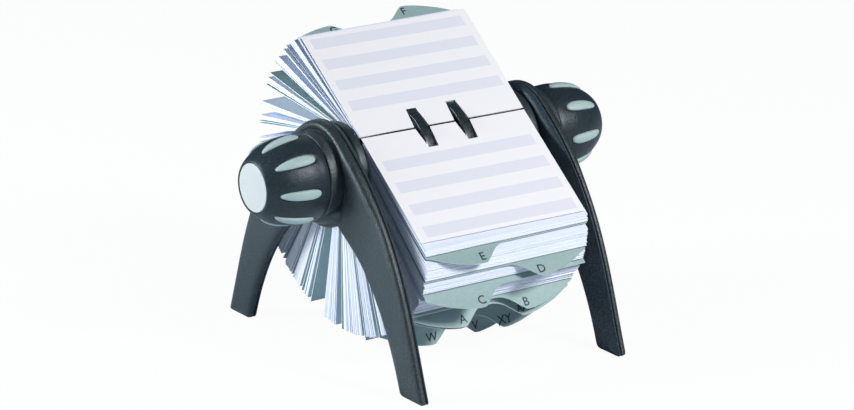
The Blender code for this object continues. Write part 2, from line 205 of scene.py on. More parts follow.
# materials
def newMaterial(name, roughness, specular):
    made = bpy.data.materials.new(name)
    made.use_nodes = True
    shader = made.node_tree.nodes["Principled BSDF"]
    shader.inputs["Roughness"].default_value = roughness
    shader.inputs["Specular IOR Level"].default_value = specular
    shader.inputs["Specular Tint"].default_value = (0.84, 0.94, 1.0, 1)
    return made, made.node_tree, shader


def useGroup(tree, name, **values):
    return node(tree, "ShaderNodeGroup", values, node_tree=groups[name])


def mixColours(tree, mask, first, second):
    first, second = ((*c, 1) if isinstance(c, tuple) else c for c in (first, second))
    return node(tree, "ShaderNodeMix", {0: mask, 6: first, 7: second}, data_type="RGBA").outputs[2]


# stretches the middle of a noise over a range
def spread(tree, value, low, high):
    return node(tree, "ShaderNodeMapRange", {"Value": value, "From Min": 0.3, "From Max": 0.7, "To Min": low,
                                             "To Max": high}).outputs["Result"]


# each plastic starts from these values and gives its own where it differs; edge is the colour of the painted edge
# highlight and rubbed wear
plastic = {"edge": (0.11, 0.135, 0.14), "dustColour": (0.30, 0.33, 0.34), "rough": 0.40, "gloss": 0.50,
           "cells": 1000.0, "depth": 0.00002, "strength": 0.9, "rub": 0.4, "dust": 0.10}


def mouldedPlastic(name, **own):
    look = {**plastic, **own}
    made, tree, shader = newMaterial(name, look["rough"], look["gloss"])
    grain = useGroup(tree, "grain", Cells=look["cells"], Depth=look["depth"], Strength=look["strength"])
    rub = useGroup(tree, "rub", Amount=look["rub"])
    dust = useGroup(tree, "dust", Amount=look["dust"])
    base = mixColours(tree, spread(tree, grain.outputs["Mask"], 0.0, 1.0), look["dark"], look["light"])
    # painted edge highlight, partly rubbed wear, in the edge colour along outer edges
    base = mixColours(tree, rub.outputs["Mask"], base, look["edge"])
    base = mixColours(tree, dust.outputs["Mask"], base, look["dustColour"])
    link(tree, base, shader.inputs["Base Color"])
    link(tree, spread(tree, grain.outputs["Mask"], look["rough"] - 0.06, look["rough"] + 0.08),
         shader.inputs["Roughness"])
    link(tree, grain.outputs["Normal"], shader.inputs["Normal"])
    return made


standPlastic = mouldedPlastic(
    "stand_moulding", dark=(0.008, 0.0135, 0.0145), light=(0.028, 0.039, 0.041), rough=0.39, gloss=0.60,
    depth=0.00020, strength=1.0, rub=0.7, dust=0.30)
knobPlastic = mouldedPlastic(
    "knob_moulding", dark=(0.011, 0.019, 0.024), light=(0.025, 0.038, 0.045), edge=(0.09, 0.11, 0.12), rough=0.35,
    gloss=0.34, cells=1200.0, depth=0.00013, rub=0.3, dust=0.12)
railPlastic = mouldedPlastic(
    "rail_moulding", dark=(0.012, 0.018, 0.022), light=(0.020, 0.029, 0.035), edge=(0.06, 0.075, 0.08), rough=0.26,
    gloss=0.75, cells=420.0, strength=0.25)
# the covers' own dark tone, made lighter and bluer than the shells' as painted bluish fill light on the stands' shaded
# inner faces
coverFillLitPlastic = mouldedPlastic(
    "cover_moulding_painted_fill", dark=(0.013, 0.024, 0.034), light=(0.030, 0.050, 0.066), gloss=0.42, depth=0.00016, rub=0.7,
    dust=0.30)
flangePlastic = mouldedPlastic(
    "flange_moulding", dark=(0.012, 0.020, 0.024), light=(0.030, 0.044, 0.048), edge=(0.07, 0.09, 0.09), rough=0.38,
    depth=0.00016, strength=0.8)
gripRubber = mouldedPlastic(
    "grip_soft_moulding", dark=(0.35, 0.460, 0.450), light=(0.415, 0.535, 0.525), edge=(0.46, 0.57, 0.57),
    dustColour=(0.6, 0.65, 0.65), rough=0.50, gloss=0.4, cells=1300.0, depth=0.00003, strength=0.35)
discPlastic = mouldedPlastic(
    "disc_moulding", dark=(0.518, 0.532, 0.508), light=(0.556, 0.568, 0.545), edge=(0.74, 0.77, 0.76),
    dustColour=(0.6, 0.65, 0.66), rough=0.36, cells=1300.0, strength=0.25, rub=0.3, dust=0.08)
dividerPlastic = mouldedPlastic(
    "divider_sheet", dark=(0.26, 0.375, 0.375), light=(0.31, 0.43, 0.43), edge=(0.48, 0.60, 0.60),
    dustColour=(0.5, 0.55, 0.55), rough=0.42, gloss=0.6, cells=700.0, strength=0.3, dust=0.08)
# the dividers' cut edges are pale: painted light that the translucent sheets carry to their edges
dividerGlowRim = mouldedPlastic(
    "divider_cut_edge_painted_glow", dark=(0.68, 0.78, 0.78), light=(0.76, 0.85, 0.85), edge=(0.8, 0.88, 0.88),
    dustColour=(0.5, 0.55, 0.55), cells=700.0, depth=0.00001, strength=0.2, rub=0.2, dust=0.05)
letterInk = mouldedPlastic(
    "letter_ink", dark=(0.016, 0.028, 0.032), light=(0.030, 0.045, 0.050), edge=(0.05, 0.07, 0.07), rough=0.50,
    gloss=0.4, cells=2500.0, depth=0.00001, strength=0.2, rub=0.1, dust=0.05)
axleSteel = mouldedPlastic(
    "axle_bright_steel", dark=(0.45, 0.46, 0.47), light=(0.60, 0.61, 0.62), edge=(0.7, 0.7, 0.7), rough=0.28,
    cells=500.0, depth=0.00001, strength=0.2, rub=0.3, dust=0.05)
axleSteel.node_tree.nodes["Principled BSDF"].inputs["Metallic"].default_value = 1.0


def cardStock(name, look, rows=None):
    made, tree, shader = newMaterial(name, 0.72, 0.25)
    fibre = useGroup(tree, "fibre", Fibres=look["fibres"], Strength=look["strength"])
    base = mixColours(tree, fibre.outputs["Tint"], look["shade"], look["paper"])
    if rows:
        printed = useGroup(tree, "rows", **rows)
        base = mixColours(tree, printed.outputs["Mask"], base, look["row"])
    link(tree, base, shader.inputs["Base Color"])
    link(tree, fibre.outputs["Normal"], shader.inputs["Normal"])
    link(tree, spread(tree, fibre.outputs["Tint"], 0.68, 0.80), shader.inputs["Roughness"])
    return made


# the flat faces of the imported cards are bluer, partly for their printed rows and partly as painted bluish shade
paper = {"paper": (0.892, 0.884, 0.912), "shade": (0.862, 0.857, 0.892), "row": (0.755, 0.765, 0.845),
         "fibres": 1700.0, "strength": 0.3}
# the packs' card stock is darker than the open cards' paper: painted shade of the gaps between the packed sheets
stackShadedPaper = cardStock("card_stock", dict(paper, paper=(0.842, 0.845, 0.888), shade=(0.804, 0.810, 0.862)))
faceShadedPaper = cardStock("card_stock_faces_printed_and_shaded", dict(paper, paper=(0.745, 0.800, 0.925), shade=(0.705, 0.765, 0.900)))
upperPaper = cardStock("card_stock_upper", paper, {"First": 16.9, "Pitch": 14.60, "Height": 7.0,
                                                   "Left": -46.6, "Right": 50.6})
lowerPaper = cardStock("card_stock_lower", paper, {"First": 16.5, "Pitch": 14.95, "Height": 7.2,
                                                   "Left": -48.0, "Right": 47.6})
print("materials built")


# mesh helpers
def finishPiece(name, bm, materials, body, replaced, smooth=None):
    bmesh.ops.remove_doubles(bm, verts=bm.verts, dist=0.0000005)
    bmesh.ops.recalc_face_normals(bm, faces=bm.faces)
    mesh = meshOf(name, bm)
    for item in materials:
        mesh.materials.append(item)
    if smooth:
        mesh.shade_smooth()
        mesh.set_sharp_from_angle(angle=smooth)
    return dress(placed(name, mesh), body, replaced)


def dress(made, body, replaced):
    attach(made, body)
    if replaced:
        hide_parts(*replaced)
    return made


# rounds the corners of an (x, radius) outline: every point may carry its own fillet
def rounded(points, closed, steps=5):
    result = []
    count = len(points)
    for i, point in enumerate(points):
        fillet = point[2] if len(point) > 2 else 0
        here = Vector(point[:2])
        if fillet == 0 or (not closed and i in (0, count - 1)):
            result.append(here)
            continue
        before = Vector(points[i - 1][:2]) - here
        after = Vector(points[(i + 1) % count][:2]) - here
        start = here + before.normalized() * min(fillet, before.length * 0.48)
        end = here + after.normalized() * min(fillet, after.length * 0.48)
        for k in range(steps + 1):
            share = k / steps
            result.append(start * (1 - share) ** 2 + here * 2 * share * (1 - share) + end * share ** 2)
    return result


# turns an outline about the axle; points on the axis become one pole each
def lathe(outline, steps, side, closed=True):
    bm = bmesh.new()
    rings = []
    for point in outline:
        x, radius = side * point[0], point[1]
        turns = [2 * pi * k / steps for k in range(steps)] if radius > 1e-6 else [0]
        rings.append([bm.verts.new((x, radius * sin(a), axleHeight + radius * cos(a))) for a in turns])
    for one, two in zip(rings, rings[1:] + (rings[:1] if closed else [])):
        for k in range(steps):
            n = (k + 1) % steps
            corners = (one[k % len(one)], two[k % len(two)], two[n % len(two)], one[n % len(one)])
            unique = list(dict.fromkeys(corners))
            if len(unique) > 2:
                bm.faces.new(unique)
    return bm


# closes two matching outlines into a sheet: its edge faces come first, then its two flat faces
def closeSheet(bm, near, far):
    count = len(near)
    edges = [bm.faces.new((near[k], near[(k + 1) % count], far[(k + 1) % count], far[k])) for k in range(count)]
    bm.faces.new(near)
    bm.faces.new(far)
    return edges


def bezierPoint(a, b, c, d, share):
    rest = 1 - share
    return a * rest ** 3 + b * (3 * rest ** 2 * share) + c * (3 * rest * share ** 2) + d * share ** 3


def easeShare(value, low, high):
    share = np.clip((value - low) / (high - low), 0, 1)
    return share * share * (3 - 2 * share)


# stands: one arch outline, its shell crowned outside and its cover nearly flat inside. The pulls and turns
# shape the long curves of the legs, the lip runs under the hub, and the shoulder is the cover's swell
stand = {"hub": 0.0289, "footFront": 0.0932, "footBack": 0.0726, "footRound": 0.0030, "browPull": 0.0663,
         "shinPull": 0.0457, "hollowPull": 0.0354, "anklePull": 0.0303, "browTurn": radians(35.0),
         "shinTurn": radians(69.9), "hollowStart": radians(145.6), "hollowTurn": radians(31.6),
         "ankleTurn": radians(72.3), "seam": 0.0638, "coverOuter": 0.0631, "coverInner": 0.0618,
         "shellGroove": 0.0002, "coverGroove": 0.0005, "collar": 0.0235, "collarEnd": 0.0752, "bore": 0.0044,
         "wall": 0.0013, "crown": 0.0041, "roll": 0.0040, "hubRoll": 0.0034, "hubRise": 0.0016,
         "hubFrom": 0.034, "hubTo": 0.060, "valley": 0.0238, "valleyDepth": 0.0021, "valleyRound": 0.0019,
         "lip": 0.0014, "lipRise": 0.0098, "lipRun": 0.0056, "lipReach": 0.0295, "lipFrom": 112, "lipTo": 150,
         "shoulder": 0.0029, "shoulderFrom": 0.027, "shoulderTo": 0.050, "shoulderRound": 0.0016,
         "rim": 0.0006, "rimRound": 0.00035,
         "rings": (0.00012, 0.0003, 0.0006, 0.0010, 0.0015, 0.0021), "gridInset": 0.0027,
         "gridHalf": 0.095, "gridTop": 0.030, "step": 0.00115}


def archOutline(kit):
    hub = kit["hub"]

    def spot(turn):
        return Vector((hub * sin(turn), hub * cos(turn)))

    def away(turn):
        return Vector((cos(turn), -sin(turn)))

    toe, heel = Vector((kit["footFront"], -axleHeight)), Vector((kit["footBack"], -axleHeight))
    brow, hollow = spot(kit["browTurn"]), spot(kit["hollowStart"])
    half = [spot(kit["browTurn"] * k / 18) for k in range(18)]
    half += [bezierPoint(brow, brow + kit["browPull"] * away(kit["browTurn"]),
                         toe - kit["shinPull"] * away(kit["shinTurn"]), toe, k / 110) for k in range(110)]
    toeRise = toe - kit["footRound"] * away(kit["shinTurn"])
    heelRise = heel - kit["footRound"] * away(kit["ankleTurn"])
    half = [p for p in half if p.y > toeRise.y]
    near, far = toe.lerp(heel, 0.15), toe.lerp(heel, 0.85)
    half += [bezierPoint(toeRise, toeRise.lerp(toe, 0.7), near.lerp(toe, 0.7), near, k / 6) for k in range(6)]
    half += [near.lerp(far, k / 14) for k in range(14)]
    half += [bezierPoint(far, far.lerp(heel, 0.7), heelRise.lerp(heel, 0.7), heelRise, k / 6) for k in range(7)]
    ankle = [bezierPoint(heel, heel - kit["anklePull"] * away(kit["ankleTurn"]),
                         hollow + kit["hollowPull"] * away(kit["hollowTurn"]), hollow, k / 80) for k in range(80)]
    half += [p for p in ankle if p.y > heelRise.y + 0.0003]
    half += [spot(kit["hollowStart"] + (pi - kit["hollowStart"]) * k / 16) for k in range(17)]
    outline = [tuple(p) for p in half] + [(-p.x, p.y) for p in half[-2:0:-1]]
    return np.array(outline)


def distancesTo(points, outline):
    along = np.roll(outline, -1, axis=0) - outline
    size = (along ** 2).sum(1)
    best = np.full(len(points), 1e9)
    batch = 400
    for k in range(0, len(points), batch):
        group = points[k:k + batch, None, :] - outline[None]
        share = np.clip((group * along).sum(2) / size, 0, 1)
        gap = np.linalg.norm(group - share[..., None] * along, axis=2)
        best[k:k + batch] = gap.min(1)
    return best


def insideOf(points, outline):
    y, z = points[:, 0][:, None], points[:, 1][:, None]
    a, b = outline, np.roll(outline, -1, axis=0)
    crosses = (a[:, 1] > z) != (b[:, 1] > z)
    with np.errstate(divide="ignore", invalid="ignore"):
        where = (b[:, 0] - a[:, 0]) * (z - a[:, 1]) / (b[:, 1] - a[:, 1]) + a[:, 0]
    return (crosses & (y < where)).sum(1) % 2 == 1


def inwardNormals(outline):
    along = np.roll(outline, -1, axis=0) - np.roll(outline, 1, axis=0)
    along /= np.linalg.norm(along, axis=1)[:, None]
    return np.stack([along[:, 1], -along[:, 0]], axis=1)


# shell height above the seam: rim rounded up to the crown, valley round the collar, lip under the hub
def shellHeight(kit, points, inset):
    reach = np.hypot(points[:, 0], points[:, 1])
    turn = np.degrees(np.arccos(np.clip(points[:, 1] / np.maximum(reach, 1e-6), -1, 1)))
    nearHub = 1 - easeShare(reach, kit["hubFrom"], kit["hubTo"])
    share = np.exp(-inset / (kit["roll"] + (kit["hubRoll"] - kit["roll"]) * nearHub))
    crown = kit["wall"] + (kit["crown"] - kit["wall"] + kit["hubRise"] * nearHub) * np.sqrt(1 - share ** 2)
    beyond = np.exp(-((reach - kit["valley"]) / kit["valleyRound"]) ** 2)
    dip = kit["valleyDepth"] * np.where(reach < kit["valley"], 1.0, beyond)
    lip = kit["lip"] + kit["lipRise"] * easeShare(kit["hub"] - reach, 0, kit["lipRun"])
    under = easeShare(turn, kit["lipFrom"], kit["lipTo"]) * (reach < kit["lipReach"])
    return (crown - dip) * (1 - under) + np.maximum(crown * 0.9, lip) * under


# cover height: flat plate with a rounded edge towards the cards, swelling round the hub
def coverHeight(kit, points, inset):
    thick = kit["coverOuter"] - kit["coverInner"]
    reach = np.hypot(points[:, 0], points[:, 1])
    swell = 1 - easeShare(reach, kit["shoulderFrom"], kit["shoulderTo"])
    shoulder = kit["shoulder"] * swell * (1 - np.exp(-inset / kit["shoulderRound"]))
    return thick + shoulder - kit["rim"] * np.exp(-inset / kit["rimRound"])


# one half of a stand: points in rings along the outline and in a grid between them, lifted to their heights
def archMesh(kit, outline, height, flatX, way, side):
    normals = inwardNormals(outline)
    if not insideOf(outline[40:41] + normals[40:41] * 0.001, outline)[0]:
        normals = -normals
    clouds = []
    for depth in kit["rings"]:
        ring = outline + normals * depth
        ring = ring[insideOf(ring, outline)]
        clouds.append(ring[distancesTo(ring, outline) > depth * 0.93])
    step = kit["step"]
    ys = np.arange(-kit["gridHalf"], kit["gridHalf"], step)
    zs = np.arange(-axleHeight, kit["gridTop"], step * 0.866)
    grid = np.array([(y + (k % 2) * step / 2, z) for k, z in enumerate(zs) for y in ys])
    grid = grid[insideOf(grid, outline)]
    clouds.append(grid[distancesTo(grid, outline) > kit["gridInset"]])
    points = np.vstack([outline] + clouds)
    count = len(outline)
    found = delaunay_2d_cdt([Vector(p) for p in points], [(k, (k + 1) % count) for k in range(count)], [], 1, 1e-7)
    flat = np.array([tuple(p) for p in found[0]])
    inset = distancesTo(flat, outline)
    inset[inset < 1e-6] = 0
    heights = height(kit, flat, inset)
    middles = np.array([flat[list(face)].mean(0) for face in found[2]])
    keep = insideOf(middles, outline)
    bm = bmesh.new()
    verts = [bm.verts.new((side * (flatX + way * h), p[0], axleHeight + p[1])) for p, h in zip(flat, heights)]
    for face, good in zip(found[2], keep):
        if good:
            bm.faces.new([verts[k] for k in face])
    bmesh.ops.delete(bm, geom=[v for v in bm.verts if not v.link_faces], context="VERTS")
    # side wall down to a small groove at the seam, then the flat face
    loop = [e for e in bm.edges if e.is_boundary]
    groove = kit["shellGroove"] if way > 0 else kit["coverGroove"]
    for level, inwards in ((groove, 0.0), (0.0, groove)):
        grown = bmesh.ops.extrude_edge_only(bm, edges=loop)["geom"]
        for v in [g for g in grown if isinstance(g, bmesh.types.BMVert)]:
            y, z = v.co.y, v.co.z
            normal = normals[((outline - (y, z - axleHeight)) ** 2).sum(1).argmin()]
            v.co = (side * (flatX + way * level), y + normal[0] * inwards, z + normal[1] * inwards)
        loop = [g for g in grown if isinstance(g, bmesh.types.BMEdge) and g.is_boundary]
    bmesh.ops.holes_fill(bm, edges=loop, sides=0)
    bmesh.ops.triangulate(bm, faces=[f for f in bm.faces if len(f.verts) > 4])
    return bm


outline = archOutline(stand)
for side, word in sides:
    shell = archMesh(stand, outline, shellHeight, stand["seam"], 1, side)
    start, end, bore = stand["seam"] + 0.002, stand["collarEnd"], stand["bore"]
    collar = rounded([(start, bore), (start, stand["collar"]), (end, stand["collar"], 0.0009), (end, bore, 0.0004)],
                     True)
    shell.from_mesh(meshOf("collar", lathe(collar, 128, side)))
    cover = archMesh(stand, outline, coverHeight, stand["coverOuter"], -1, side)
    for part, bm, finish in (("shell", shell, standPlastic), ("cover", cover, coverFillLitPlastic)):
        finishPiece(part + "_" + word, bm, [finish], "stand", ["stand_" + word + "_" + part],
                    radians(50))
print("stands built")


# rotor: rails, flanges, knobs, pads and end discs
rotor = {"bore": 0.0043, "drum": 0.0130, "drumHalf": 0.0530, "rail": 0.0275, "railInner": 0.0242, "railWidth": 0.0055,
         "webWidth": 0.0042, "pitch": 0.0256, "flangeInner": 0.0533, "flangeRim": 0.0583, "flangeOuter": 0.0615,
         "flange": 0.0264, "flangeNeck": 0.0195}


def railOutline(kit):
    points = [(-kit["drumHalf"], kit["bore"]), (-kit["drumHalf"], kit["drum"], 0.0006)]
    for rail in (-1, 1):
        middle = rail * kit["pitch"] / 2
        web, half = kit["webWidth"] / 2, kit["railWidth"] / 2
        points += [(middle - web, kit["drum"], 0.0010), (middle - web, kit["railInner"], 0.0004),
                   (middle - half, kit["railInner"], 0.0004), (middle - half, kit["rail"], 0.0007),
                   (middle + half, kit["rail"], 0.0007), (middle + half, kit["railInner"], 0.0004),
                   (middle + web, kit["railInner"], 0.0004), (middle + web, kit["drum"], 0.0010)]
    return points + [(kit["drumHalf"], kit["drum"], 0.0006), (kit["drumHalf"], kit["bore"])]


finishPiece("rails", lathe(rounded(railOutline(rotor), True), 160, 1), [railPlastic], "rotor",
            ["rail_drum"], radians(60))
for side, word in sides:
    edge = [(rotor["flangeInner"], rotor["bore"]), (rotor["flangeInner"], rotor["flange"], 0.0006),
            (rotor["flangeRim"], rotor["flange"], 0.0018), (rotor["flangeRim"], rotor["flangeNeck"], 0.0006),
            (rotor["flangeOuter"], rotor["flangeNeck"]), (rotor["flangeOuter"], rotor["bore"])]
    finishPiece("end_flange_" + word, lathe(rounded(edge, True, 9), 128, side), [flangePlastic], "rotor",
                ["flange_" + word], radians(60))

knob = {"start": 0.0755, "end": 0.1090, "radius": 0.0237, "disc": 0.0131, "recess": 0.0013, "gap": 0.00035,
        "bore": 0.0043, "skirt": 0.020, "around": 288, "rows": 74,
        "lengths": (0.0, 0.03, 0.15, 0.31, 0.46, 0.60, 0.72, 0.82, 0.91, 0.97, 1.0),
        "radii": (0.966, 0.978, 0.994, 0.998, 0.970, 0.925, 0.866, 0.791, 0.708, 0.640, 0.595)}
pad = {"middle": 0.0925, "halfLength": 0.0109, "halfWidth": 0.0027, "rise": 0.0014, "sunk": 0.0012, "taper": 0.06,
       "blunt": 0.80, "count": 8, "phase": radians(3.5), "rings": 7, "points": 36, "groove": 0.0003,
       "window": 0.0006}


# radius of the knob at a share of its length, along a smooth curve through the profile
def knobRadius(kit, shares):
    xs, rs = np.array(kit["lengths"]), np.array(kit["radii"])
    slopes = np.gradient(rs, xs)
    shares = np.clip(shares, 0, 1)
    k = np.clip(np.searchsorted(xs, shares) - 1, 0, len(xs) - 2)
    width = xs[k + 1] - xs[k]
    t = (shares - xs[k]) / width
    return kit["radius"] * ((1 + 2 * t) * (1 - t) ** 2 * rs[k] + t * (1 - t) ** 2 * width * slopes[k]
                            + t * t * (3 - 2 * t) * rs[k + 1] + t * t * (t - 1) * width * slopes[k + 1])


def knobRadiusAt(kit, x):
    return float(knobRadius(kit, np.array([(x - kit["start"]) / (kit["end"] - kit["start"])]))[0])


# the knob with a shallow window and a groove round each pad
def knobMesh(kit, pads, side):
    shares = np.concatenate([[0, 0.012], np.linspace(0.03, 1.0, kit["rows"])])
    xs = kit["start"] + (kit["end"] - kit["start"]) * shares
    turns = np.arange(kit["around"]) * 2 * pi / kit["around"]
    spacing = 2 * pi / pads["count"]
    offset = (turns - pads["phase"] + spacing / 2) % spacing - spacing / 2
    along = (xs[:, None] - pads["middle"]) / pads["halfLength"]
    blunt = 1 - pads["taper"] * np.clip(along, -1, 1)
    across = offset[None, :] * knobRadiusAt(kit, pads["middle"]) / (pads["halfWidth"] * blunt)
    power = 2 / pads["blunt"]
    leaf = (np.abs(along) ** power + np.abs(across) ** power) ** (1 / power)
    radii = (knobRadius(kit, shares)[:, None] - pads["groove"] * np.exp(-((leaf - 1.06) / 0.06) ** 2)
             - pads["window"] * (leaf < 1.02))
    bm = bmesh.new()
    outline = list(zip(xs, radii))
    edge, floor = kit["disc"] + kit["gap"], kit["end"] - kit["recess"]
    inner = rounded([(kit["end"], kit["radii"][-1] * kit["radius"]), (kit["end"], edge, 0.0003), (floor, edge),
                     (floor, kit["bore"]), (kit["start"], kit["bore"]), (kit["start"], kit["skirt"])], False, 3)
    outline += [(x, [r] * kit["around"]) for x, r in inner[1:]]
    rows = [[bm.verts.new((side * x, -r * sin(a), axleHeight + r * cos(a))) for r, a in zip(ring, turns)]
            for x, ring in outline]
    for one, two in zip(rows, rows[1:] + rows[:1]):
        for k in range(kit["around"]):
            n = (k + 1) % kit["around"]
            bm.faces.new((one[k], two[k], two[n], one[n]))
    return bm


# one domed pad lying in its window at the top of the knob
def padMesh(kit, pads, side):
    bm = bmesh.new()
    midRadius = knobRadiusAt(kit, pads["middle"])
    rings = []
    levels = [(1.0, -pads["sunk"]), (1.0, -0.0002)]
    for k in range(1, pads["rings"] + 1):
        turn = k / pads["rings"] * pi / 2
        levels.append((cos(turn * 0.97), pads["rise"] * sin(turn) ** 0.8))
    for share, rise in levels:
        ring = []
        for k in range(pads["points"]):
            turn = 2 * pi * k / pads["points"]
            lengthwise = copysign(abs(cos(turn)) ** pads["blunt"], cos(turn))
            crosswise = copysign(abs(sin(turn)) ** pads["blunt"], sin(turn))
            x = pads["middle"] + pads["halfLength"] * share * lengthwise
            across = pads["halfWidth"] * share * crosswise * (1 - pads["taper"] * lengthwise)
            base = knobRadiusAt(kit, x) + rise
            lean = across / midRadius
            ring.append(bm.verts.new((side * x, -base * sin(lean), base * cos(lean))))
        rings.append(ring)
    for one, two in zip(rings, rings[1:]):
        for k in range(pads["points"]):
            n = (k + 1) % pads["points"]
            bm.faces.new((one[k], one[n], two[n], two[k]))
    bm.faces.new(rings[0])
    bm.faces.new(rings[-1])
    bmesh.ops.recalc_face_normals(bm, faces=bm.faces)
    return bm


def newTree(name, inputs):
    tree = bpy.data.node_groups.new(name, "GeometryNodeTree")
    tree.interface.new_socket("Geometry", in_out="INPUT", socket_type="NodeSocketGeometry")
    sockets = {}
    for label, kind, value in inputs:
        socket = tree.interface.new_socket(label, in_out="INPUT", socket_type="NodeSocket" + kind)
        if value is not None:
            socket.default_value = value
        sockets[label] = socket.identifier
    tree.interface.new_socket("Geometry", in_out="OUTPUT", socket_type="NodeSocketGeometry")
    return tree, tree.nodes.new("NodeGroupInput").outputs, tree.nodes.new("NodeGroupOutput").inputs, sockets


def vectorOf(tree, **parts):
    return node(tree, "ShaderNodeCombineXYZ", parts).outputs[0]


def copiesOnPoints(tree, given, place, turn):
    points = node(tree, "GeometryNodePoints", {"Count": given["Count"], "Position": place}).outputs[0]
    return node(tree, "GeometryNodeInstanceOnPoints", {"Points": points, "Instance": given["Geometry"],
                                                       "Rotation": turn}).outputs[0]


def finishGeometry(tree, geometry, finish, result, faceFinish=None, edgeCount=0):
    real = node(tree, "GeometryNodeRealizeInstances", {0: geometry}).outputs[0]
    painted = node(tree, "GeometryNodeSetMaterial", {"Geometry": real, "Material": finish}).outputs[0]
    if faceFinish:
        # a sheet's two flat faces come after its edge faces
        index = node(tree, "GeometryNodeInputIndex").outputs[0]
        flat = calc(tree, "GREATER_THAN", calc(tree, "MODULO", index, edgeCount + 2.0), edgeCount - 0.5)
        painted = node(tree, "GeometryNodeSetMaterial", {"Geometry": painted, "Selection": flat,
                                                         "Material": faceFinish}).outputs[0]
    link(tree, painted, result["Geometry"])


# repeats the given shape in a ring about the X axis
def makePadsRound():
    tree, given, result, sockets = newTree("padsRound", [
        ("Count", "Int", 8), ("Phase", "Float", 0.0), ("Centre Height", "Float", 0.1), ("Finish", "Material", None)])
    index = node(tree, "GeometryNodeInputIndex").outputs[0]
    turn = calc(tree, "ADD", calc(tree, "MULTIPLY", calc(tree, "DIVIDE", index, given["Count"]), 2 * pi),
                given["Phase"])
    copies = copiesOnPoints(tree, given, vectorOf(tree, Z=given["Centre Height"]), vectorOf(tree, X=turn))
    finishGeometry(tree, copies, given["Finish"], result)
    return tree, sockets


# runs a tree on a seed mesh and keeps the result as a plain mesh
def grown(name, bm, tree, sockets, values):
    seed = placed(name, meshOf(name + "_seed", bm))
    change = seed.modifiers.new("grow", "NODES")
    change.node_group = tree
    for label, value in values.items():
        change[sockets[label]] = value
    result = evaluatedMesh(seed)
    seed.modifiers.clear()
    seed.data = result
    result.name = name
    return seed


padTree, padSockets = makePadsRound()
for side, word in sides:
    finishPiece("turning_knob_" + word, knobMesh(knob, pad, side), [knobPlastic], "rotor",
                ["knob_" + word], radians(50))
    pads = grown("knob_pads_" + word, padMesh(knob, pad, side), padTree, padSockets,
                 {"Count": pad["count"], "Phase": pad["phase"], "Centre Height": axleHeight, "Finish": gripRubber})
    pads.data.shade_smooth()
    dress(pads, "rotor", ["knob_grip_" + word])
    low, high = knob["end"] - knob["recess"] + 0.0003, knob["end"]
    face = rounded([(low, 0), (low, knob["disc"]), (high - 0.0001, knob["disc"], 0.0007), (high, 0)], False, 5)
    finishPiece("end_disc_" + word, lathe(face, 96, side, False), [discPlastic], "rotor",
                ["knob_disc_" + word], radians(60))
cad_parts["axle"].material_slots[0].material = axleSteel
print("rotor, knobs and pads built")


# leaves: every divider and stack lies in the planes of its CAD node
card = {"width": 0.104, "length": 0.072, "notchDepth": 0.0128, "mouth": 0.0092, "notchEnd": 0.0061, "pitch": 0.0256}
divider = {"rise": 0.0101, "lead": 0.0335, "fall": 0.0165, "sheet": 0.00042, "lean": radians(0.35),
           "letterSize": 0.0069, "letterAcross": 0.0187, "letterAlong": 0.0781, "letterWeight": 0.00008,
           "letterThick": 0.00002, "letterLift": 0.00003, "threeLetters": 0.80}
stack = {"sheetGap": 0.00042, "cover": 0.94, "slipAcross": 0.00016, "slipAlong": 0.00035, "skew": radians(0.25),
         "looseSheet": 0.00022}
# the tab's edge, as shares of its width and its rise
tabRise = ((0.0, 0.0), (0.10, 0.14), (0.22, 0.34), (0.34, 0.52), (0.47, 0.67), (0.60, 0.80), (0.72, 0.90),
           (0.84, 0.965), (0.93, 1.0))
tabFall = ((0.02, 0.98), (0.10, 0.88), (0.24, 0.70), (0.38, 0.49), (0.57, 0.24), (0.79, 0.07), (1.0, 0.0))


# the flat faces of a leaf node, as (base point, outward direction) from its left edge, first face first
def leafFaces(name):
    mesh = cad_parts[name].data
    spots = {tuple(round(c, 6) for c in v.co) for v in mesh.vertices if v.co.x < -card["width"] / 2 + 0.0004}
    spots = [Vector((0, s[1], s[2])) for s in spots]
    near = sorted(spots, key=lambda s: (s - axlePoint).length)
    middle = sum(spots, Vector()) / len(spots) - axlePoint
    grow = Vector((0, middle.z, -middle.y)).normalized()
    bases, tips = (sorted(pair, key=lambda p: p.dot(grow)) for pair in (near[:2], near[2:4]))
    return [(base, (tip - base).normalized()) for base, tip in zip(bases, tips)]


def cardOutline():
    half, length = card["width"] / 2, card["length"]
    points = []
    for middle in (-card["pitch"] / 2, card["pitch"] / 2):
        points += [(middle - card["mouth"] / 2, 0), (middle - card["notchEnd"] / 2, card["notchDepth"]),
                   (middle + card["notchEnd"] / 2, card["notchDepth"]), (middle + card["mouth"] / 2, 0)]
    return [(-half, 0)] + points + [(half, 0), (half, length), (-half, length)]


def dividerOutline(tabSide):
    outline = cardOutline()
    half, top = card["width"] / 2, card["length"]
    edge = [(-half + divider["lead"] * a, top + divider["rise"] * b) for a, b in tabRise]
    edge += [(-half + divider["lead"] + divider["fall"] * a, top + divider["rise"] * b) for a, b in tabFall]
    if tabSide < 0:
        outline[-1:] = edge[::-1]
    else:
        outline[-2:-1] = [(-a, b) for a, b in edge]
    return outline


def letterMesh(text, size):
    curve = bpy.data.curves.new("letter", "FONT")
    curve.body = text
    curve.size = size
    curve.align_x = curve.align_y = "CENTER"
    curve.offset = divider["letterWeight"]
    curve.extrude = divider["letterThick"]
    curve.resolution_u = 3
    holder = placed("letter", curve)
    mesh = evaluatedMesh(holder)
    bpy.data.objects.remove(holder, do_unlink=True)
    return mesh


def basis(right, up, normal, origin):
    place = Matrix((right, up, normal)).transposed().to_4x4()
    place.translation = origin
    return place


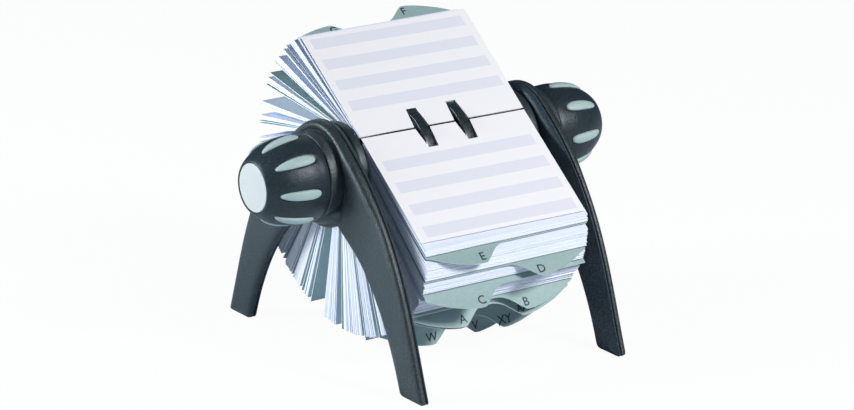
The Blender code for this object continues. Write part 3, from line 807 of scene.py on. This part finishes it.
# how far single dividers lean, slip outwards and carry their letters off the middle, by their letters
rightWay = Vector((1, 0, 0))
accented = "\u00c5\u00c4\u00d6"
dividerLeans = {"C": radians(-1.1), "D": radians(0.5), "E": radians(-0.1), "F": radians(-1.3),
                "G": radians(-1.6), "K": 0.0}
dividerSlips = {"A": 0.0004, "B": 0.0008, "C": 0.0027, "E": -0.0011, "K": -0.0001, "V": 0.0019, "W": 0.0010,
                "XY": 0.0010, accented: 0.0014}
letterShifts = {"A": 0.0010, "C": 0.0009, "D": 0.0012, "E": 0.0009, "W": 0.0013, "XY": 0.0013, accented: 0.0026}
dice = Random(7)


def makeDivider(name, letters, tabSide, origin, out, replaced):
    lean = dividerLeans.get(letters, dice.uniform(-divider["lean"], divider["lean"]))
    bm = bmesh.new()
    half = divider["sheet"] / 2
    near, far = [[bm.verts.new((a, b, h)) for a, b in dividerOutline(tabSide)] for h in (-half, half)]
    # the sheet's edge faces take the painted edge light
    for face in closeSheet(bm, near, far):
        face.material_index = 2
    ink = letterMesh(letters, divider["letterSize"] * (divider["threeLetters"] if len(letters) > 2 else 1.0))
    across = tabSide * (divider["letterAcross"] + letterShifts.get(letters, 0))
    for facing in (1, -1):
        start = len(bm.faces)
        bm.from_mesh(ink)
        bm.faces.ensure_lookup_table()
        added = bm.faces[start:]
        for face in added:
            face.material_index = 1
        spot = Vector((across, divider["letterAlong"], facing * (half + divider["letterLift"])))
        turned = Matrix.Rotation(0 if facing > 0 else pi, 4, "X")
        bmesh.ops.transform(bm, matrix=Matrix.Translation(spot) @ turned,
                            verts=list({v for face in added for v in face.verts}))
    place = basis(rightWay, out, rightWay.cross(out), origin + out * dividerSlips.get(letters, 0))
    bmesh.ops.transform(bm, matrix=place @ Matrix.Rotation(lean, 4, "Z"), verts=bm.verts)
    finishPiece(name, bm, [dividerPlastic, letterInk, dividerGlowRim], "rotor", replaced)


for name in sorted(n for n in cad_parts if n.startswith("divider_")):
    letters = name.split("_")[1]
    (base, out), (farBase, farOut) = leafFaces(name)
    origin = (base + farBase) / 2
    tabFoot = card["length"] + divider["rise"] / 2
    tall = [v.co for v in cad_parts[name].data.vertices if (v.co - origin).dot(out) > tabFoot]
    tabSide = 1 if sum(v.x for v in tall) > 0 else -1
    makeDivider("index_" + letters, letters, tabSide, origin, out, [name])

# one more divider shows between Z and A, its letters half hidden
(base, out), (farBase, farOut) = leafFaces("divider_Z")[1], leafFaces("divider_A")[0]
makeDivider("index_after_Z", accented, 1, (base + farBase) / 2, (out + farOut).normalized(), [])
print("dividers built")


# a pack of cards between two planes, each slipped a little on the rails
def makeCardPack():
    tree, given, result, sockets = newTree("cardPack", [
        ("Count", "Int", 8), ("Near Base", "Vector", None), ("Far Base", "Vector", None), ("Near Turn", "Float", 0.0),
        ("Far Turn", "Float", 0.0), ("Slip Across", "Float", 0.0004), ("Slip Along", "Float", 0.0004),
        ("Skew", "Float", 0.01), ("Seed", "Int", 1), ("Finish", "Material", None), ("Face Finish", "Material", None)])
    index = node(tree, "GeometryNodeInputIndex").outputs[0]
    share = calc(tree, "DIVIDE", index, calc(tree, "SUBTRACT", given["Count"], 1.0))

    def blend(kind, label, first, result):
        near, far = given["Near " + label], given["Far " + label]
        return node(tree, "ShaderNodeMix", {0: share, first: near, first + 1: far}, data_type=kind).outputs[result]

    def chance(label, extra):
        limit = given[label]
        return node(tree, "FunctionNodeRandomValue", {
            2: calc(tree, "MULTIPLY", limit, -1.0), 3: limit, "ID": index,
            "Seed": calc(tree, "ADD", given["Seed"], float(extra))}, data_type="FLOAT").outputs[1]

    copies = copiesOnPoints(tree, given, blend("VECTOR", "Base", 4, 1), vectorOf(tree, X=blend("FLOAT", "Turn", 2, 0)))
    skewed = node(tree, "GeometryNodeRotateInstances", {"Instances": copies,
                                                        "Rotation": vectorOf(tree, Z=chance("Skew", 1))})
    slip = vectorOf(tree, X=chance("Slip Across", 2), Y=chance("Slip Along", 3))
    slid = node(tree, "GeometryNodeTranslateInstances", {"Instances": skewed.outputs[0], "Translation": slip})
    finishGeometry(tree, slid.outputs[0], given["Finish"], result, given["Face Finish"], len(cardOutline()))
    return tree, sockets


def cardSheet(baseThick, tipThick):
    bm = bmesh.new()
    near, far = [[bm.verts.new((a, b, way * (baseThick + (tipThick - baseThick) * b / card["length"]) / 2))
                  for a, b in cardOutline()] for way in (-1, 1)]
    closeSheet(bm, near, far)
    bmesh.ops.recalc_face_normals(bm, faces=bm.faces)
    return bm


packTree, packSockets = makeCardPack()
for number, name in enumerate(sorted(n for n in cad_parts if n.startswith("cards_"))):
    (base, out), (farBase, farOut) = leafFaces(name)
    depth = (farBase - base).length
    tip, farTip = base + out * card["length"], farBase + farOut * card["length"]
    tipDepth = (farTip - tip).length
    count = max(2, round((depth + tipDepth) / 2 / stack["sheetGap"]))
    baseThick, tipThick = depth / count * stack["cover"], tipDepth / count * stack["cover"]
    near, far = [(base.lerp(farBase, share), tip.lerp(farTip, share)) for share in (0.5 / count, 1 - 0.5 / count)]
    turns = [atan2((b - a).z, (b - a).y) for a, b in (near, far)]
    turns[1] -= 2 * pi * round((turns[1] - turns[0]) / (2 * pi))
    made = grown("pack_" + name[6:], cardSheet(baseThick, tipThick), packTree, packSockets, {
        "Count": count, "Near Base": near[0], "Far Base": far[0], "Near Turn": turns[0], "Far Turn": turns[1],
        "Slip Across": stack["slipAcross"], "Slip Along": stack["slipAlong"], "Skew": stack["skew"],
        "Seed": number * 17 + 3, "Finish": stackShadedPaper, "Face Finish": faceShadedPaper})
    dress(made, "rotor", [name])
print("packs of cards built")


# the open pair lies in one plane: its slope, its distance from the axle and half its notches in millimetres
openPair = {"slope": radians(54.4), "offset": 0.0260, "sheet": 0.00026, "mouth": 4.6, "notchEnd": 3.1}

# single cards that lie loose between the packs: the faces on both sides of the gap, the share of the way
# between them, the tilt in degrees and the slip
looseCards = (("divider_F", 0, "open", 0, 0.45, -0.3, 0.0002), ("divider_G", 0, "cards_F_G", 1, 0.12, -0.8, 0.0010),
              ("cards_J_K", 1, "divider_K", 0, 0.62, 0.5, -0.0004), ("cards_J_K", 1, "divider_K", 0, 0.70, 0.2, 0.0003),
              ("divider_A", 1, "divider_B", 0, 0.35, 0.3, 0.0), ("divider_A", 1, "divider_B", 0, 0.60, -0.4, 0.0004))


def faceOf(name, which):
    if name == "open":
        turn = openPair["slope"]
        base = axlePoint + Vector((0, -cos(turn), sin(turn))) * (openPair["offset"] - openPair["sheet"])
        return base, Vector((0, sin(turn), cos(turn)))
    return leafFaces(name)[which]


for number, (near, nearFace, far, farFace, share, tilt, slip) in enumerate(looseCards):
    (base, out), (farBase, farOut) = faceOf(near, nearFace), faceOf(far, farFace)
    origin = base.lerp(farBase, share)
    tip = (base + out * card["length"]).lerp(farBase + farOut * card["length"], share)
    out = (tip - origin).normalized()
    place = basis(rightWay, out, rightWay.cross(out), origin + out * slip)
    bm = cardSheet(stack["looseSheet"], stack["looseSheet"])
    # only the two flat faces have more than four corners
    for face in bm.faces:
        face.material_index = int(len(face.verts) > 4)
    bmesh.ops.transform(bm, matrix=place @ Matrix.Rotation(radians(tilt), 4, "Z"), verts=bm.verts)
    finishPiece("slipped_card_" + str(number + 1), bm, [stackShadedPaper, faceShadedPaper], "rotor", [])
print("slipped cards built")


# the two open cards, their corners in millimetres from the axle's middle, where the photograph has them
openCards = {
    "open_card_upper": {"corners": ((-51.4, 0.40), (53.1, -1.70), (55.9, 70.0), (-50.3, 70.3)), "way": 1,
                        "notch": 12.0, "body": "upper_card", "finish": upperPaper},
    "open_card_lower": {"corners": ((-51.5, -0.85), (53.0, -2.95), (51.1, -74.0), (-53.2, -72.0)), "way": -1,
                        "notch": -14.6, "body": "lower_card", "finish": lowerPaper}}


def openCardMesh(kit):
    turn = openPair["slope"]
    up, normal = Vector((0, sin(turn), cos(turn))), Vector((0, -cos(turn), sin(turn)))
    baseLeft, baseRight, tipRight, tipLeft = [Vector(c) for c in kit["corners"]]
    outline = [baseLeft]
    for rail in (-1, 1):
        middle = rail * card["pitch"] / 2 * 1000
        for across, deep in ((-openPair["mouth"], False), (-openPair["notchEnd"], True),
                             (openPair["notchEnd"], True), (openPair["mouth"], False)):
            x = middle + across
            edge = baseLeft.lerp(baseRight, (x - baseLeft.x) / (baseRight.x - baseLeft.x))
            outline.append(Vector((x, kit["notch"])) if deep else edge)
    outline += [baseRight, tipRight, tipLeft]
    bm = bmesh.new()
    layer = bm.loops.layers.uv.new("card")
    top = axlePoint + normal * openPair["offset"]
    sheets = [[bm.verts.new(top + rightWay * p.x / 1000 + up * p.y / 1000 - normal * drop) for p in outline]
              for drop in (0, openPair["sheet"])]
    closeSheet(bm, *sheets)
    uvOf = {}
    for sheet in sheets:
        for v, p in zip(sheet, outline):
            edge = baseLeft.lerp(baseRight, (p.x - baseLeft.x) / (baseRight.x - baseLeft.x))
            uvOf[v] = (p.x / 100, kit["way"] * (p.y - edge.y) / 100)
    for face in bm.faces:
        for loop in face.loops:
            loop[layer].uv = uvOf[loop.vert]
    return bm


for name, kit in openCards.items():
    finishPiece("loose_" + name[5:], openCardMesh(kit), [kit["finish"]], kit["body"], [name])
print("open pair built")


# floor, backdrop and light
studio = {"world": 0.10, "sky": (0.32, 0.55, 1.0), "floor": (0.70, 0.77, 0.84), "glow": 0.96}


def makeFloor():
    bm = bmesh.new()
    for corner in ((-3, -3), (3, -3), (3, 3), (-3, 3)):
        bm.verts.new((*corner, 0))
    bm.faces.new(bm.verts)
    floor = placed("floor", meshOf("floor", bm))
    made, tree, shader = newMaterial("floor_paint", 0.9, 0.1)
    shader.inputs["Base Color"].default_value = (*studio["floor"], 1)
    glow = node(tree, "ShaderNodeEmission", {"Strength": 1.0})
    rays = node(tree, "ShaderNodeLightPath")
    seen = calc(tree, "MAXIMUM", rays.outputs["Is Camera Ray"], rays.outputs["Is Transmission Ray"])
    both = node(tree, "ShaderNodeMixShader", {0: calc(tree, "MULTIPLY", seen, studio["glow"]), 1: shader.outputs[0],
                                              2: glow.outputs[0]})
    link(tree, both.outputs[0], tree.nodes["Material Output"].inputs["Surface"])
    floor.data.materials.append(made)


def makeWorld():
    world = bpy.data.worlds.new("studio")
    world.use_nodes = True
    tree = world.node_tree
    soft = tree.nodes["Background"]
    soft.inputs["Color"].default_value = (*studio["sky"], 1)
    soft.inputs["Strength"].default_value = studio["world"]
    white = node(tree, "ShaderNodeBackground", {"Color": (1, 1, 1, 1)})
    rays = node(tree, "ShaderNodeLightPath")
    both = node(tree, "ShaderNodeMixShader", {0: rays.outputs["Is Camera Ray"], 1: soft.outputs[0],
                                              2: white.outputs[0]})
    link(tree, both.outputs[0], tree.nodes["World Output"].inputs["Surface"])
    scene.world = world


# where each lamp stands as seen from the axle: degrees round from the front, degrees up, distance
lamps = {"key": {"turn": 18, "lift": 33, "away": 1.3, "size": 0.30, "power": 15.8, "tint": (1.0, 0.985, 0.95)},
         "rear": {"turn": -119, "lift": 20, "away": 1.3, "size": 0.50, "power": 20.0, "tint": (0.89, 0.96, 1.0)}}


def makeLamp(name, kit):
    lamp = bpy.data.lights.new(name, "AREA")
    lamp.shape = "SQUARE"
    lamp.size = kit["size"]
    lamp.energy = kit["power"]
    lamp.color = kit["tint"]
    made = placed(name, lamp)
    turn, lift = radians(kit["turn"]), radians(kit["lift"])
    way = Vector((sin(turn) * cos(lift), -cos(turn) * cos(lift), sin(lift)))
    made.location = axlePoint + way * kit["away"]
    made.rotation_euler = way.to_track_quat("Z", "Y").to_euler()


makeFloor()
makeWorld()
for name, kit in lamps.items():
    makeLamp(name, kit)
scene.view_settings.view_transform = "Standard"
print("studio built")
